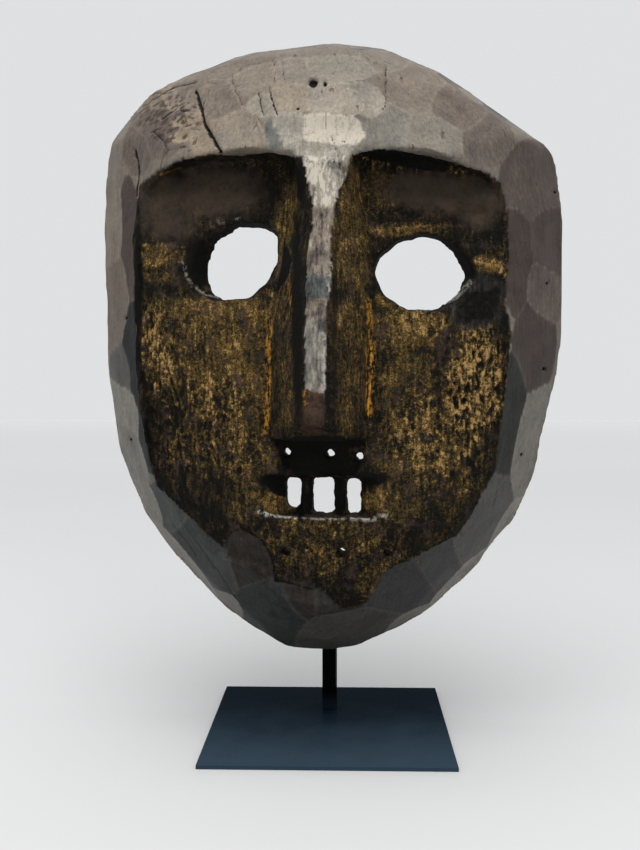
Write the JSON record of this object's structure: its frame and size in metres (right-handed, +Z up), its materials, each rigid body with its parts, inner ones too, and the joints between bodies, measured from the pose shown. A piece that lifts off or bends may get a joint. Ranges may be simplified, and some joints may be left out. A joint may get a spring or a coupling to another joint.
{
  "type": "shaman mask",
  "caption": "Carved wooden face mask with a long thin nose, pierced eyes and a slotted mouth, held upright by a black steel display stand.",
  "frame": {"origin": "centre of the underside of the square base plate", "axes": "+Z up, -Y to the front of the plate and the side that the face looks to, +X to the viewer's right"},
  "size_m": [0.1998, 0.1149, 0.29],
  "materials": {
    "wood": "hand-hewn, dark smoke and oil patina, worn grey and red-brown on the high facets",
    "stand": "satin blue-black",
    "screws": "blackened steel"
  },
  "bodies": {
    "root": {"mask": "wood", "stand_base": "stand", "stand_post": "stand", "stand_crossbar": "stand", "screw_left": "screws", "screw_right": "screws"}
  },
  "joints": []
}
